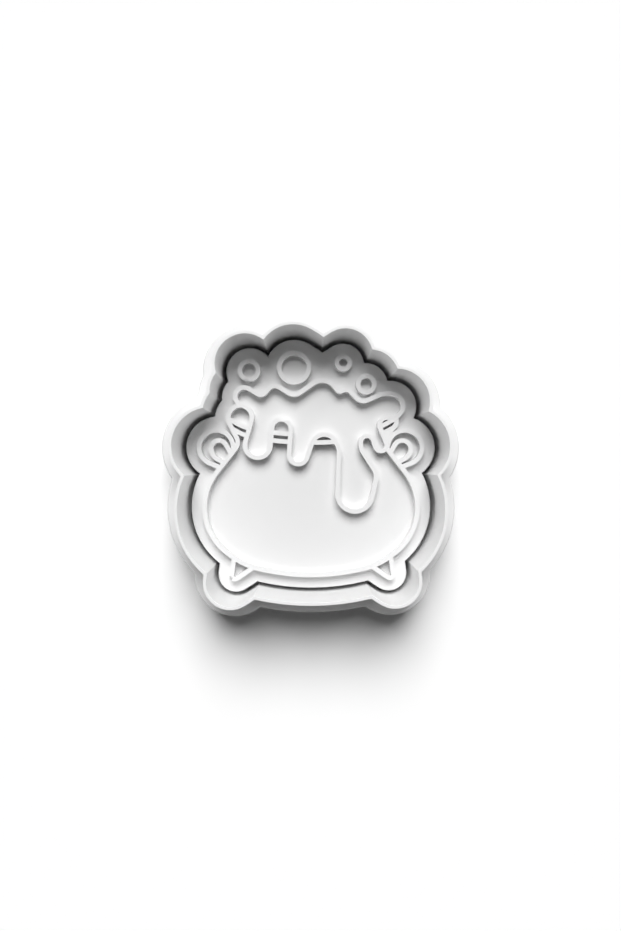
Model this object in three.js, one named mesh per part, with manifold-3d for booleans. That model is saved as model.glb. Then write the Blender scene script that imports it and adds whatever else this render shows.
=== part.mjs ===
// Two-piece cookie stamp: a lobed cutter ring, and a stamp plate with a raised line drawing of a
// bubbling cauldron that slides through the ring. Millimetres, +Z up, working side up, standing on z = 0.
import * as THREE from 'three';
import { mergeVertices } from 'three/addons/utils/BufferGeometryUtils.js';
import Module from 'manifold-3d';

const wasm = await Module();
wasm.setup();

// Heights above the table
const cutterHeight = 22;
const shoulderHeight = 12.5;
const plateThickness = 9;
const reliefHeight = 2.5;

// Widths measured square to the outline
const lineWidth = 1.2;
const plateMargin = 3.3;
const slideClearance = 1.2;
const bladeTipWidth = 0.8;
const bladeRootWidth = 1.4;
const shoulderWidth = 3.25;

// Edge breaks
const shoulderEdge = 0.6;
const baseEdge = 0.4;
const plateEdge = 0.25;

// How deep the raised lines are rooted in the plate
const lineRoot = 0.6;

// How far a facet may cut inside its curve, on the drawing and on the outlines of the two pieces
const drawingFacet = 0.02;
const outlineFacet = 0.03;

// Bubbles over the cauldron: centre and radius to the middle of the line
const leftBubble = { x: -16.5, y: 25.5, r: 2.45 };
const bigBubble = { x: -4.5, y: 26.25, r: 3.95 };
const rightBubble = { x: 8.6, y: 27.5, r: 1.7 };
const lowBubble = { x: 14.7, y: 21.8, r: 2.15 };
const bubbles = [leftBubble, bigBubble, rightBubble, lowBubble];

// The cauldron, as wheels that its line runs round counterclockwise: turn 1 bulges out, -1 is hollow
const leftRimEnd = { x: -18.65, y: 12.8, r: 3.4, turn: 1 };
const rightRimEnd = { x: 21.1, y: 11.85, r: 1.7, turn: 1 };
const leftNeckReach = 21.95;
const rightNeckReach = 22.05;
const neckLevel = 6.3;
const neckRadius = 2.45;
const bellyReach = 13.1;
const bellyLevel = -11;
const bellyRadius = 15.25;
const hipReach = 9.3;
const hipLevel = -7.9;
const hipRadius = 20;
const bottomRadius = 58;
const bottomLevel = -29;
const belly = (side) => ({ x: side * bellyReach, y: bellyLevel, r: bellyRadius, turn: 1 });
const hip = (side) => ({ x: side * hipReach, y: hipLevel, r: hipRadius, turn: 1 });
const neck = (x) => ({ x, y: neckLevel, r: neckRadius, turn: -1 });
const bottom = { x: 0, y: bottomLevel + bottomRadius, r: bottomRadius, turn: 1 };
const cauldron = [
  leftRimEnd,
  neck(-leftNeckReach),
  belly(-1),
  hip(-1),
  bottom,
  hip(1),
  belly(1),
  neck(rightNeckReach),
  rightRimEnd,
];

// The front of its rim: two lines, one under the other, each half an ellipse that leaves straight at its ends
const rimReach = 20.8;
const rimCentre = 0.2;
const upperLip = { level: 12.55, drop: 4.2 };
const lowerLip = { level: 10.45, drop: 4.2 };
const lipEndAngle = 20;
const lipTail = 5;

// Handles: an outer ring on each side and an arch round its hole, both running in behind the cauldron
const leftHandle = { x: -25.25, y: 4.95, r: 4.55, turn: 1 };
const leftHandleEnd = { x: -22.85, y: 0.15, r: 1, turn: 1 };
const leftArchTop = { x: -24.5, y: 4.7, r: 2.1, turn: 1 };
const leftArchSide = { x: -23.4, y: 4.5, r: 3.1, turn: 1 };
const leftArchEnd = { x: -21.2, y: 1, r: 1, turn: 1 };
const rightHandle = { x: 25, y: 4.95, r: 4.55, turn: 1 };
const rightHandleEnd = { x: 20.2, y: -0.6, r: 1, turn: 1 };
const rightArchTop = { x: 24.3, y: 4.5, r: 2.3, turn: 1 };
const rightArchEnd = { x: 21, y: 1.2, r: 1, turn: 1 };
const rightArchSide = { x: 23.5, y: 4.55, r: 3, turn: 1 };
const handles = [
  [leftHandle, leftHandleEnd],
  [leftArchTop, leftArchSide, leftArchEnd],
  [rightHandle, rightHandleEnd],
  [rightArchTop, rightArchEnd, rightArchSide],
];

// Feet: a narrow triangle with a round tip under each side of the belly
const footTipRadius = 0.9;
const leftFootTip = { x: -20.2, y: -29.2, r: footTipRadius, turn: 1 };
const rightFootTip = { x: 21, y: -28.85, r: footTipRadius, turn: 1 };
const footRootLevel = -24.6;
const footOuterLean = 0.6;
const footSlope = 34;

// The potion that boils over: wheels counterclockwise from its left end, along the drips and back
const potionLeftEnd = { x: -17.8, y: 18.55, r: 2.4, turn: 1 };
const potionRightEnd = { x: 21.45, y: 16.05, r: 3.1, turn: 1 };
const leftCorner = { x: -18.8, y: 17.45, r: 0.9, turn: 1 };
const leftHollow = { x: -18.8, y: 13, r: 3.05, turn: -1 };
const firstDrip = { x: -14.2, y: 5.6, r: 3.4, turn: 1 };
const firstArch = { x: -7.9, y: 9.95, r: 2.5, turn: -1 };
const secondDrip = { x: -3.4, y: 2.95, r: 2.45, turn: 1 };
const wideArchLeft = { x: 3.5, y: 5, r: 3.4, turn: -1 };
const wideArchRight = { x: 3.65, y: 3.85, r: 3.8, turn: -1 };
const longDrip = { x: 11.7, y: -7.45, r: 4.65, turn: 1 };
const longDripSide = { x: 13.6, y: -2.85, r: 3.8, turn: 1 };
const longDripNeck = { x: 17.5, y: 5.9, r: 4.25, turn: -1 };
const narrowArch = { x: 14.95, y: 6.35, r: 1.7, turn: -1 };
const lastDrip = { x: 18.65, y: 5.55, r: 1.55, turn: 1 };
const rightHollow = { x: 20.15, y: 10.95, r: 1.9, turn: -1 };
const rightCorner = { x: 22.45, y: 13.85, r: 0.8, turn: 1 };
const rightCrest = { x: 20.3, y: 14.1, r: 5.25, turn: 1 };
const rightTrough = { x: 14.05, y: 20, r: 2.65, turn: -1 };
const smallCrest = { x: 9.3, y: 18.5, r: 1.8, turn: 1 };
const smallTrough = { x: 7.75, y: 20.75, r: 0.9, turn: -1 };
const bigCrest = { x: 3, y: 18.7, r: 4.1, turn: 1 };
const bigTrough = { x: -4.5, y: 21.7, r: 2.65, turn: -1 };
const leftCrest = { x: -9.65, y: 19.2, r: 2.15, turn: 1 };
const leftTrough = { x: -13.45, y: 20.6, r: 1.6, turn: -1 };
const leftDrips = [leftCorner, leftHollow, firstDrip, firstArch, secondDrip, wideArchLeft, wideArchRight];
const rightDrips = [longDrip, longDripSide, longDripNeck, narrowArch, lastDrip, rightHollow, rightCorner];
const waves = [rightCrest, rightTrough, smallCrest, smallTrough, bigCrest, bigTrough, leftCrest, leftTrough];
const potion = [potionLeftEnd, ...leftDrips, ...rightDrips, potionRightEnd, ...waves];

// Where the outline of the two pieces runs straight: radius of such a flank, and the angle it leaves at
const flankRadius = 40;
const bubbleFlank = 60;
const footFlank = 59;
const footSide = 7;

const half = lineWidth / 2;
const plateOffset = half + plateMargin;
const wallOffset = plateOffset + slideClearance;
const shoulderOffset = wallOffset + bladeRootWidth + shoulderWidth;

const positive = (angle) => angle - 2 * Math.PI * Math.floor(angle / (2 * Math.PI));

// Facets that an arc needs to stay within a chord error
function arcSteps(sweep, radius, error) {
  const step = 2 * Math.acos(1 - error / Math.max(radius, 4 * error));
  return Math.max(1, Math.ceil(Math.abs(sweep) / step));
}

// Closed line drawn tight round a row of wheels, grown outwards by an offset
function belt(wheels, grow) {
  const rims = wheels.map((wheel) => ({ ...wheel, r: wheel.r + wheel.turn * grow }));
  const headings = rims.map((wheel, i) => {
    const next = rims[(i + 1) % rims.length];
    const dx = next.x - wheel.x;
    const dy = next.y - wheel.y;
    const lift = wheel.turn * wheel.r - next.turn * next.r;
    const run = Math.sqrt(Math.max(0, dx * dx + dy * dy - lift * lift));
    return Math.atan2(dy, dx) + Math.atan2(lift, run);
  });
  return rims.flatMap((wheel, i) => {
    const arrive = headings.at(i - 1);
    const sweep = wheel.turn * positive((headings[i] - arrive) * wheel.turn);
    const steps = arcSteps(sweep, wheel.r, drawingFacet);
    const reach = wheel.turn * wheel.r;
    return Array.from({ length: steps + 1 }, (_, k) => {
      const heading = arrive + (sweep * k) / steps;
      return new THREE.Vector2(wheel.x + reach * Math.sin(heading), wheel.y - reach * Math.cos(heading));
    });
  });
}

// Lobe of large radius that leaves another lobe tangentially at an angle, for a straight flank
function flank(lobe, degrees) {
  const angle = THREE.MathUtils.degToRad(degrees);
  const back = flankRadius - lobe.r;
  return { x: lobe.x - back * Math.cos(angle), y: lobe.y - back * Math.sin(angle), r: flankRadius };
}

// A lobe's arc is shorter than this, unless it runs backwards
const longestSweep = 1.75 * Math.PI;

// Lobes that the outline of both pieces is made of, counterclockwise from the right handle
const lobes = [
  rightHandle,
  potionRightEnd,
  lowBubble,
  rightBubble,
  flank(rightBubble, 180 - bubbleFlank),
  flank(bigBubble, bubbleFlank),
  bigBubble,
  leftBubble,
  potionLeftEnd,
  leftRimEnd,
  leftHandle,
  belly(-1),
  flank(leftFootTip, 180 - footSide),
  leftFootTip,
  flank(leftFootTip, -footFlank),
  bottom,
  flank(rightFootTip, footFlank - 180),
  rightFootTip,
  flank(rightFootTip, footSide),
  belly(1),
];

// Where the edges of two neighbouring lobes cross, on the outer side
function corner(lobe, next) {
  const dx = next.x - lobe.x;
  const dy = next.y - lobe.y;
  const gap = Math.hypot(dx, dy);
  const along = (lobe.r * lobe.r - next.r * next.r + gap * gap) / (2 * gap);
  const side = Math.sqrt(Math.max(0, lobe.r * lobe.r - along * along));
  return { x: lobe.x + (along * dx + side * dy) / gap, y: lobe.y + (along * dy - side * dx) / gap };
}

// The outline grown by an offset from the middle of the drawing's lines, as one arc for each lobe. A lobe that
// its neighbours have outgrown would run backwards, and shrinks to the corner between them.
function lobeArcs(grow, ring = lobes) {
  const grown = ring.map((lobe) => ({ ...lobe, r: lobe.r + grow }));
  const arcs = grown.map((lobe, i) => {
    const from = corner(grown.at(i - 1), lobe);
    const to = corner(lobe, grown[(i + 1) % grown.length]);
    const start = Math.atan2(from.y - lobe.y, from.x - lobe.x);
    return { ...lobe, start, sweep: positive(Math.atan2(to.y - lobe.y, to.x - lobe.x) - start) };
  });
  const lost = arcs.findIndex(({ sweep }) => sweep > longestSweep);
  if (lost < 0) return arcs;
  const kept = lobeArcs(grow, ring.toSpliced(lost, 1));
  const point = corner(kept.at(lost - 1), kept[lost % kept.length]);
  return kept.toSpliced(lost, 0, { ...point, r: 0, start: 0, sweep: 0 });
}

// Every offset of the outline has the same stations, so that walls can be lofted between them
const stations = lobeArcs(plateOffset).map(({ r, sweep }) => arcSteps(sweep, r, outlineFacet));

function outline(grow) {
  return lobeArcs(grow).flatMap(({ x, y, r, start, sweep }, i) => (
    Array.from({ length: stations[i] }, (_, k) => {
      const angle = start + (sweep * k) / stations[i];
      return new THREE.Vector2(x + r * Math.cos(angle), y + r * Math.sin(angle));
    })
  ));
}

// The part's own axis runs through the middle of the shoulder's outline
const middle = new THREE.Box2().setFromPoints(outline(shoulderOffset)).getCenter(new THREE.Vector2());

// Wall lofted through sections with the same stations, either capped or closed on itself
function loft(sections, capped) {
  const count = sections[0].points.length;
  const vertices = sections.flatMap(({ points, z }) => (
    points.flatMap((point) => [point.x - middle.x, point.y - middle.y, z])
  ));
  const faces = [];
  const spans = capped ? sections.length - 1 : sections.length;
  for (let s = 0; s < spans; s += 1) {
    const lower = s * count;
    const upper = ((s + 1) % sections.length) * count;
    for (let i = 0; i < count; i += 1) {
      const j = (i + 1) % count;
      faces.push(lower + i, lower + j, upper + j, lower + i, upper + j, upper + i);
    }
  }
  if (capped) {
    const top = spans * count;
    const cap = (section) => THREE.ShapeUtils.triangulateShape(section.points, []);
    cap(sections[0]).forEach(([a, b, c]) => faces.push(a, c, b));
    cap(sections.at(-1)).forEach(([a, b, c]) => faces.push(top + a, top + b, top + c));
  }
  const geometry = new THREE.BufferGeometry();
  geometry.setAttribute('position', new THREE.Float32BufferAttribute(vertices, 3));
  geometry.setIndex(faces);
  return geometry;
}

// Closed body from a geometry, with doubled points welded and the triangles that this flattens left out
function solid(geometry) {
  const bare = geometry.clone();
  bare.deleteAttribute('normal');
  bare.deleteAttribute('uv');
  const welded = mergeVertices(bare);
  const corners = Array.from(welded.index.array);
  const triVerts = corners.filter((_, i) => {
    const first = i - (i % 3);
    return new Set(corners.slice(first, first + 3)).size === 3;
  });
  return new wasm.Manifold(new wasm.Mesh({
    numProp: 3,
    vertProperties: new Float32Array(welded.attributes.position.array),
    triVerts: new Uint32Array(triVerts),
  }));
}

function surface(body) {
  const { vertProperties, triVerts } = body.getMesh();
  const geometry = new THREE.BufferGeometry();
  geometry.setAttribute('position', new THREE.Float32BufferAttribute(vertProperties, 3));
  geometry.setIndex(Array.from(triVerts));
  geometry.computeVertexNormals();
  return geometry;
}

// Raised shape that stands on the plate and is rooted a little way into it
function raise(points, hole) {
  const shape = new THREE.Shape(points);
  if (hole) shape.holes.push(new THREE.Path(hole));
  const geometry = new THREE.ExtrudeGeometry(shape, { depth: lineRoot + reliefHeight, bevelEnabled: false });
  geometry.translate(-middle.x, -middle.y, plateThickness - lineRoot);
  return solid(geometry);
}

function circle({ x, y, r }, grow) {
  const radius = r + grow;
  const steps = arcSteps(2 * Math.PI, radius, drawingFacet);
  return Array.from({ length: steps }, (_, k) => {
    const angle = (2 * Math.PI * k) / steps;
    return new THREE.Vector2(x + radius * Math.cos(angle), y + radius * Math.sin(angle));
  });
}

const ring = (round) => raise(circle(round, half), circle(round, -half));
const loop = (wheels) => raise(belt(wheels, half), belt(wheels, -half));
const union = (bodies) => bodies.reduce((sum, body) => sum.add(body));

// Line across the front of the cauldron: the lower side of an ellipse, with a straight tail at each end
function lip({ level, drop }) {
  const start = Math.PI + THREE.MathUtils.degToRad(lipEndAngle);
  const sweep = Math.PI - 2 * THREE.MathUtils.degToRad(lipEndAngle);
  const steps = arcSteps(sweep, rimReach, drawingFacet);
  const stops = Array.from({ length: steps + 1 }, (_, k) => {
    const angle = start + (sweep * k) / steps;
    const point = new THREE.Vector2(rimReach * Math.cos(angle), drop * Math.sin(angle));
    const along = new THREE.Vector2(-rimReach * Math.sin(angle), drop * Math.cos(angle)).normalize();
    return { point: point.add(new THREE.Vector2(rimCentre, level)), along };
  });
  const tail = ({ point, along }, length) => ({ point: point.clone().addScaledVector(along, length), along });
  const path = [tail(stops[0], -lipTail), ...stops, tail(stops.at(-1), lipTail)];
  const edge = (grow) => path.map(({ point, along }) => (
    new THREE.Vector2(point.x + grow * along.y, point.y - grow * along.x)
  ));
  return raise([...edge(half), ...edge(-half).reverse()]);
}

// Triangle from the tip up to two points hidden in the belly, inwards being to the given side
function foot(tip, inwards) {
  const span = (footRootLevel - tip.y) / Math.tan(THREE.MathUtils.degToRad(footSlope));
  const inner = { ...tip, x: tip.x + inwards * span, y: footRootLevel };
  const outer = { ...tip, x: tip.x + inwards * footOuterLean, y: footRootLevel };
  return loop(inwards > 0 ? [tip, inner, outer] : [tip, outer, inner]);
}

// What lies in front hides the lines behind it: the potion over the cauldron, the cauldron over the rest
const feet = [foot(leftFootTip, 1), foot(rightFootTip, -1)];
const behind = union([...handles.map(loop), ...feet]).subtract(raise(belt(cauldron, 0)));
const lips = lip(upperLip).add(lip(lowerLip)).intersect(raise(belt(cauldron, half)));
const rim = lips.subtract(raise(circle(narrowArch, -half)));
const pot = union([loop(cauldron), rim, behind]).subtract(raise(belt(potion, 0)));
const drawing = union([pot, loop(potion), ...bubbles.map(ring)]);

// Stamp plate with lightly broken edges
const plate = loft([
  { points: outline(plateOffset - baseEdge), z: 0 },
  { points: outline(plateOffset), z: baseEdge },
  { points: outline(plateOffset), z: plateThickness - plateEdge },
  { points: outline(plateOffset - plateEdge), z: plateThickness },
], true);

// Cutter ring: straight inner wall, thin blade that thickens to its root, and a stout shoulder below it
const shoulderRound = [0, 30, 60, 90].map((degrees) => {
  const angle = THREE.MathUtils.degToRad(degrees);
  return {
    points: outline(shoulderOffset - shoulderEdge * (1 - Math.cos(angle))),
    z: shoulderHeight - shoulderEdge * (1 - Math.sin(angle)),
  };
});
const cutter = loft([
  { points: outline(wallOffset), z: 0 },
  { points: outline(shoulderOffset - baseEdge), z: 0 },
  { points: outline(shoulderOffset), z: baseEdge },
  ...shoulderRound,
  { points: outline(wallOffset + bladeRootWidth), z: shoulderHeight },
  { points: outline(wallOffset + bladeTipWidth), z: cutterHeight },
  { points: outline(wallOffset), z: cutterHeight },
], false);

const whitePlastic = { color: 0xe2e2e1, roughness: 0.6, metalness: 0 };

function piece(name, body) {
  const mesh = new THREE.Mesh(surface(body), new THREE.MeshStandardMaterial(whitePlastic));
  mesh.name = name;
  return mesh;
}

const cookieStamp = new THREE.Group();
cookieStamp.add(piece('cutter_ring', solid(cutter)));
cookieStamp.add(piece('stamp_plate', solid(plate).add(drawing)));

export default cookieStamp;
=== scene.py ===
import math

import bpy
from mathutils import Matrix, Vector


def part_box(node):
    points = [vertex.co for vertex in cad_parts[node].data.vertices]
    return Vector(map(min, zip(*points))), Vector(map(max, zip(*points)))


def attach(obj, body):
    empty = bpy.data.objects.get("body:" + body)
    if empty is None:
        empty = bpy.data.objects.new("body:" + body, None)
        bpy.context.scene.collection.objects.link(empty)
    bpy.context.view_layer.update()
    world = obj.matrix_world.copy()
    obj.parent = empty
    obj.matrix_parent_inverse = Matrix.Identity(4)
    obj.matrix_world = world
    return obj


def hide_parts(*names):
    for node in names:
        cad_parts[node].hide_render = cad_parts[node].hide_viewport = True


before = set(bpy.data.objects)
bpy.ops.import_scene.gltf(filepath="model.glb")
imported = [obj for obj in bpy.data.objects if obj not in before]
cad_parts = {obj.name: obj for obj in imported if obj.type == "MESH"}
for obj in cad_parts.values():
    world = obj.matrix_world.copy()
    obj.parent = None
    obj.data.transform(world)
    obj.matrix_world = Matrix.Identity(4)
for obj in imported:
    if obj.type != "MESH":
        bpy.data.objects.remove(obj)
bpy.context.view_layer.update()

print("frame loaded:", sorted(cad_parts))


# Working on one object at a time
def pickOnly(obj):
    bpy.ops.object.select_all(action="DESELECT")
    obj.select_set(True)
    bpy.context.view_layer.objects.active = obj


def copyNode(piece):
    # a copy with its own mesh, so that the CAD node stays as it is
    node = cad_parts[piece["node"]]
    copy = bpy.data.objects.new(piece["name"], node.data.copy())
    bpy.context.collection.objects.link(copy)
    copy.data.materials.clear()
    return copy


def cleanMesh(obj, piece):
    # loose triangles become one skin with whole flat faces
    pickOnly(obj)
    bpy.ops.object.mode_set(mode="EDIT")
    bpy.ops.mesh.select_all(action="SELECT")
    bpy.ops.mesh.remove_doubles(threshold=piece["weld"])
    bpy.ops.mesh.dissolve_limited(angle_limit=math.radians(piece["flatAngle"]))
    bpy.ops.object.mode_set(mode="OBJECT")


def roundEdges(obj, piece):
    # every edge that a nozzle would leave a little round
    pickOnly(obj)
    bpy.ops.object.mode_set(mode="EDIT")
    bpy.ops.mesh.select_mode(type="EDGE")
    bpy.ops.mesh.select_all(action="DESELECT")
    bpy.ops.mesh.edges_select_sharp(sharpness=math.radians(piece["sharpAngle"]))
    bpy.ops.mesh.bevel(
        offset=piece["edgeRound"],
        segments=piece["edgeSteps"],
        clamp_overlap=False,
    )
    bpy.ops.object.mode_set(mode="OBJECT")


def smoothMesh(obj, piece):
    # round walls shade smoothly, and large flat faces stay flat
    pickOnly(obj)
    bpy.ops.object.shade_smooth_by_angle(angle=math.radians(piece["smoothAngle"]))
    bpy.ops.object.modifier_add(type="WEIGHTED_NORMAL")
    obj.modifiers[-1].keep_sharp = True
    bpy.ops.object.modifier_apply(modifier=obj.modifiers[-1].name)


def finishPiece(obj, piece, material):
    obj.data.materials.append(material)
    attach(obj, piece["body"])
    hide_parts(piece["node"])
    print("piece done:", obj.name, len(obj.data.polygons), "faces")


# White plastic, printed in thin layers:
# ridges on the walls, and side by side roads on the level faces
bandPitch = math.pi / 10  # a band texture of scale 1 repeats after this length


def newNode(tree, kind, place, **settings):
    node = tree.nodes.new(kind)
    node.location = place
    for name, value in settings.items():
        setattr(node, name, value)
    return node


def printedPlastic(look):
    material = bpy.data.materials.new(look["material"])
    material.use_nodes = True
    tree = material.node_tree
    link = tree.links.new
    shader = tree.nodes["Principled BSDF"]
    place = newNode(tree, "ShaderNodeTexCoord", (-1500, 0))

    # layers, stacked along Z
    layers = newNode(tree, "ShaderNodeTexWave", (-1000, 300), bands_direction="Z")
    layers.inputs["Scale"].default_value = bandPitch / look["layerHeight"]
    layers.inputs["Distortion"].default_value = look["layerWobble"]
    link(place.outputs["Object"], layers.inputs["Vector"])

    # roads, laid askew on the faces that look up
    turn = newNode(tree, "ShaderNodeMapping", (-1250, -50))
    turn.inputs["Rotation"].default_value = (0, 0, math.radians(look["roadAngle"]))
    link(place.outputs["Object"], turn.inputs["Vector"])
    roads = newNode(tree, "ShaderNodeTexWave", (-1000, -50), bands_direction="X")
    roads.inputs["Scale"].default_value = bandPitch / look["roadWidth"]
    link(turn.outputs["Vector"], roads.inputs["Vector"])
    facing = newNode(tree, "ShaderNodeSeparateXYZ", (-1250, -350))
    link(place.outputs["Normal"], facing.inputs["Vector"])
    level = newNode(tree, "ShaderNodeMapRange", (-1000, -350))
    level.inputs["From Min"].default_value = look["levelFrom"]
    level.inputs["To Max"].default_value = look["roadDepth"]
    link(facing.outputs["Z"], level.inputs["Value"])
    laid = newNode(tree, "ShaderNodeMath", (-750, -150), operation="MULTIPLY")
    link(roads.outputs["Fac"], laid.inputs[0])
    link(level.outputs["Result"], laid.inputs[1])

    # fine grain, and a faint cloudiness in the colour and the gloss
    grain = newNode(tree, "ShaderNodeTexNoise", (-1000, -650))
    grain.inputs["Scale"].default_value = look["grainScale"]
    link(place.outputs["Object"], grain.inputs["Vector"])
    cloud = newNode(tree, "ShaderNodeTexNoise", (-1000, 650))
    cloud.inputs["Scale"].default_value = look["cloudScale"]
    cloud.inputs["Detail"].default_value = look["cloudDetail"]
    link(place.outputs["Object"], cloud.inputs["Vector"])
    tint = newNode(tree, "ShaderNodeMix", (-500, 650), data_type="RGBA")
    tint.inputs["A"].default_value = (*look["dull"], 1)
    tint.inputs["B"].default_value = (*look["bright"], 1)
    link(cloud.outputs["Fac"], tint.inputs["Factor"])

    # painted highlight: the lines' tops and the blade's edge get a whiter colour, which stands
    # in for the light they catch
    spot = newNode(tree, "ShaderNodeSeparateXYZ", (-1000, 900))
    link(place.outputs["Object"], spot.inputs["Vector"])
    paintedTopMask = newNode(tree, "ShaderNodeMapRange", (-750, 900))
    paintedTopMask.inputs["From Min"].default_value = look["top"] - look["layerHeight"]
    paintedTopMask.inputs["From Max"].default_value = look["top"] - look["layerHeight"] / 2
    link(spot.outputs["Z"], paintedTopMask.inputs["Value"])
    paintedTopMix = newNode(tree, "ShaderNodeMix", (-300, 650), data_type="RGBA")
    paintedTopMix.inputs["B"].default_value = (*look["paintedTopLight"], 1)
    link(paintedTopMask.outputs["Result"], paintedTopMix.inputs["Factor"])
    link(tint.outputs["Result"], paintedTopMix.inputs["A"])
    link(paintedTopMix.outputs["Result"], shader.inputs["Base Color"])
    gloss = newNode(tree, "ShaderNodeMapRange", (-500, 350))
    gloss.inputs["To Min"].default_value = look["smoothest"]
    gloss.inputs["To Max"].default_value = look["roughest"]
    link(grain.outputs["Fac"], gloss.inputs["Value"])
    link(gloss.outputs["Result"], shader.inputs["Roughness"])

    # one height, in metres, for layers, roads and grain
    layerHeights = newNode(tree, "ShaderNodeMath", (-500, 50), operation="MULTIPLY_ADD")
    layerHeights.inputs[1].default_value = look["layerDepth"]
    link(layers.outputs["Fac"], layerHeights.inputs[0])
    link(laid.outputs["Value"], layerHeights.inputs[2])
    heights = newNode(tree, "ShaderNodeMath", (-300, -150), operation="MULTIPLY_ADD")
    heights.inputs[1].default_value = look["grainDepth"]
    link(grain.outputs["Fac"], heights.inputs[0])
    link(layerHeights.outputs["Value"], heights.inputs[2])
    bump = newNode(tree, "ShaderNodeBump", (-100, -150))
    bump.inputs["Distance"].default_value = 1
    link(heights.outputs["Value"], bump.inputs["Height"])
    link(bump.outputs["Normal"], shader.inputs["Normal"])
    shader.inputs["Specular IOR Level"].default_value = look["specular"]
    return material


whitePrint = {
    "dull": (0.775, 0.775, 0.775),
    "bright": (0.805, 0.805, 0.805),
    # painted highlight: the whiter colour on the lines' tops and the blade's edge
    "paintedTopLight": (0.812, 0.812, 0.812),
    "smoothest": 0.52,
    "roughest": 0.68,
    "specular": 0.3,
    "layerHeight": 0.0002,
    "layerDepth": 0.000007,
    "layerWobble": 0.3,
    "roadWidth": 0.00042,
    "roadDepth": 0.0000015,
    "levelFrom": 0.9,  # roads start on faces whose normal points this far up
    "grainScale": 3500,
    "grainDepth": 0.000002,
    "cloudScale": 90,
    "cloudDetail": 4,
}

# Cutter ring: the thin blade on its stout shoulder
cutterRing = {
    "name": "cutterRing",
    "node": "cutter_ring",
    "body": "cutter",
    "slot": "cutter_plastic",
    "material": "cutterPlastic",
    "roadAngle": 45,
    "weld": 0.00002,
    "flatAngle": 0.3,
    "sharpAngle": 32,
    "edgeRound": 0.0001,
    "edgeSteps": 3,
    "smoothAngle": 40,
}
ring = copyNode(cutterRing)
cleanMesh(ring, cutterRing)
roundEdges(ring, cutterRing)
smoothMesh(ring, cutterRing)
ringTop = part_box(cutterRing["node"])[1][2]
ringPlastic = printedPlastic({**whitePrint, **cutterRing, "top": ringTop})
finishPiece(ring, cutterRing, ringPlastic)

# Stamp plate: the raised drawing on its base
stampPlate = {
    "name": "stampPlate",
    "node": "stamp_plate",
    "body": "stamp",
    "slot": "stamp_plastic",
    "material": "stampPlastic",
    "roadAngle": -45,
    "weld": 0.00002,
    "flatAngle": 0.3,
    "smoothAngle": 35,
}
plate = copyNode(stampPlate)
cleanMesh(plate, stampPlate)
smoothMesh(plate, stampPlate)
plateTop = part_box(stampPlate["node"])[1][2]
platePlastic = printedPlastic({**whitePrint, **stampPlate, "top": plateTop})
finishPiece(plate, stampPlate, platePlastic)


# Studio: a white floor, one large soft light from the top of the picture,
# and weak light from the sides and from below
studio = {
    "floorSize": 4,
    "floorSeen": 1.15,  # white where the keys shine on it in full
    "floorBounce": 0.2,  # what it passes on to the pieces
    "skySeen": 1,
    "skyFill": 0,
    "skyColour": (1, 1, 1, 1),
    "keys": {
        "key": {"azimuth": 0, "elevation": 49, "spread": 40, "level": 0.835},
        "leftWing": {"azimuth": -60, "elevation": 55, "spread": 30, "level": 0.018},
        "rightWing": {"azimuth": 60, "elevation": 55, "spread": 30, "level": 0.018},
    },
    "fills": {
        "left": {"azimuth": -85, "elevation": 13, "spread": 24, "level": 0.053},
        "right": {"azimuth": 85, "elevation": 13, "spread": 24, "level": 0.053},
        "lowerLeft": {"azimuth": -130, "elevation": 18, "spread": 40, "level": 0.028},
        "lowerRight": {"azimuth": 130, "elevation": 18, "spread": 40, "level": 0.028},
    },
}


def seenOrUnseen(tree, seenLevel, unseenLevel):
    # one level for the eye and for what mirrors or lets light through,
    # and another for the light that is passed on
    path = newNode(tree, "ShaderNodeLightPath", (-900, 0))
    mirrored = newNode(tree, "ShaderNodeMath", (-700, 0), operation="MAXIMUM")
    tree.links.new(path.outputs["Is Camera Ray"], mirrored.inputs[0])
    tree.links.new(path.outputs["Is Glossy Ray"], mirrored.inputs[1])
    seen = newNode(tree, "ShaderNodeMath", (-500, 0), operation="MAXIMUM")
    tree.links.new(mirrored.outputs["Value"], seen.inputs[0])
    tree.links.new(path.outputs["Is Transmission Ray"], seen.inputs[1])
    strength = newNode(tree, "ShaderNodeMapRange", (-300, 0))
    strength.inputs["To Min"].default_value = unseenLevel
    strength.inputs["To Max"].default_value = seenLevel
    tree.links.new(seen.outputs["Value"], strength.inputs["Value"])
    return strength.outputs["Result"]


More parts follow.
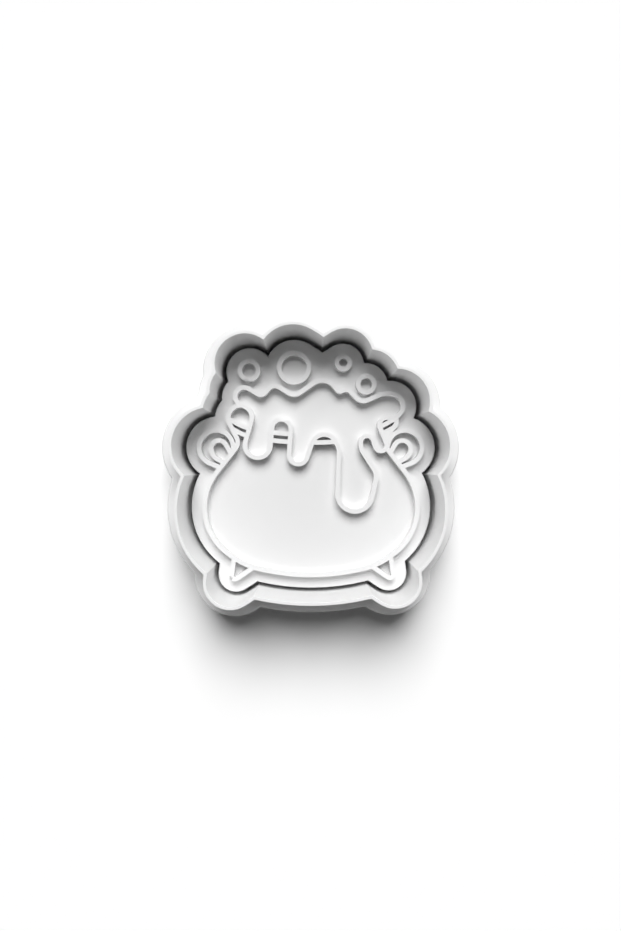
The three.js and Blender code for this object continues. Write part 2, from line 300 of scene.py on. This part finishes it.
def addFloor():
    bpy.ops.object.select_all(action="DESELECT")
    bpy.ops.mesh.primitive_plane_add(size=studio["floorSize"])
    floor = bpy.context.object
    floor.name = "floor"
    material = bpy.data.materials.new("floorWhite")
    material.use_nodes = True
    tree = material.node_tree
    shader = newNode(tree, "ShaderNodeBsdfDiffuse", (0, 0))
    level = seenOrUnseen(tree, studio["floorSeen"], studio["floorBounce"])
    tree.links.new(level, shader.inputs["Color"])
    tree.links.new(shader.outputs["BSDF"], tree.nodes["Material Output"].inputs["Surface"])
    floor.data.materials.append(material)


def addSky():
    world = bpy.data.worlds.new("studioSky")
    world.use_nodes = True
    background = world.node_tree.nodes["Background"]
    background.inputs["Color"].default_value = studio["skyColour"]
    level = seenOrUnseen(world.node_tree, studio["skySeen"], studio["skyFill"])
    world.node_tree.links.new(level, background.inputs["Strength"])
    bpy.context.scene.world = world


def addSun(name, lamp):
    # azimuth 0 shines from +Y, and the level is the light that a level white face takes up
    azimuth = math.radians(lamp["azimuth"])
    elevation = math.radians(lamp["elevation"])
    bpy.ops.object.light_add(type="SUN")
    sun = bpy.context.object
    sun.name = name + "Sun"
    towards = Vector((math.sin(azimuth), math.cos(azimuth), math.tan(elevation)))
    sun.rotation_euler = towards.to_track_quat("Z", "Y").to_euler()
    sun.data.angle = math.radians(lamp["spread"])
    sun.data.energy = lamp["level"] * math.pi / math.sin(elevation)
    return sun


addFloor()
addSky()
for lampName, lamp in studio["keys"].items():
    addSun(lampName, lamp)

# the fills light the two pieces and leave the floor alone
litByFills = bpy.data.collections.new("litByFills")
for piece in (ring, plate):
    litByFills.objects.link(piece)
for lampName, lamp in studio["fills"].items():
    addSun(lampName, lamp).light_linking.receiver_collection = litByFills
print("studio done")

# Camera: straight down, a little off the middle, with the photograph's wide view
camera = {
    "eye": (-0.0000065, 0.0000637, 0.1777),
    "lens": 24.16,
    "nearest": 0.01,
}
bpy.ops.object.camera_add(location=camera["eye"], rotation=(0, 0, 0))
eye = bpy.context.object
eye.data.lens = camera["lens"]
eye.data.clip_start = camera["nearest"]
bpy.context.scene.camera = eye
bpy.context.scene.view_settings.view_transform = "Standard"
print("camera done")
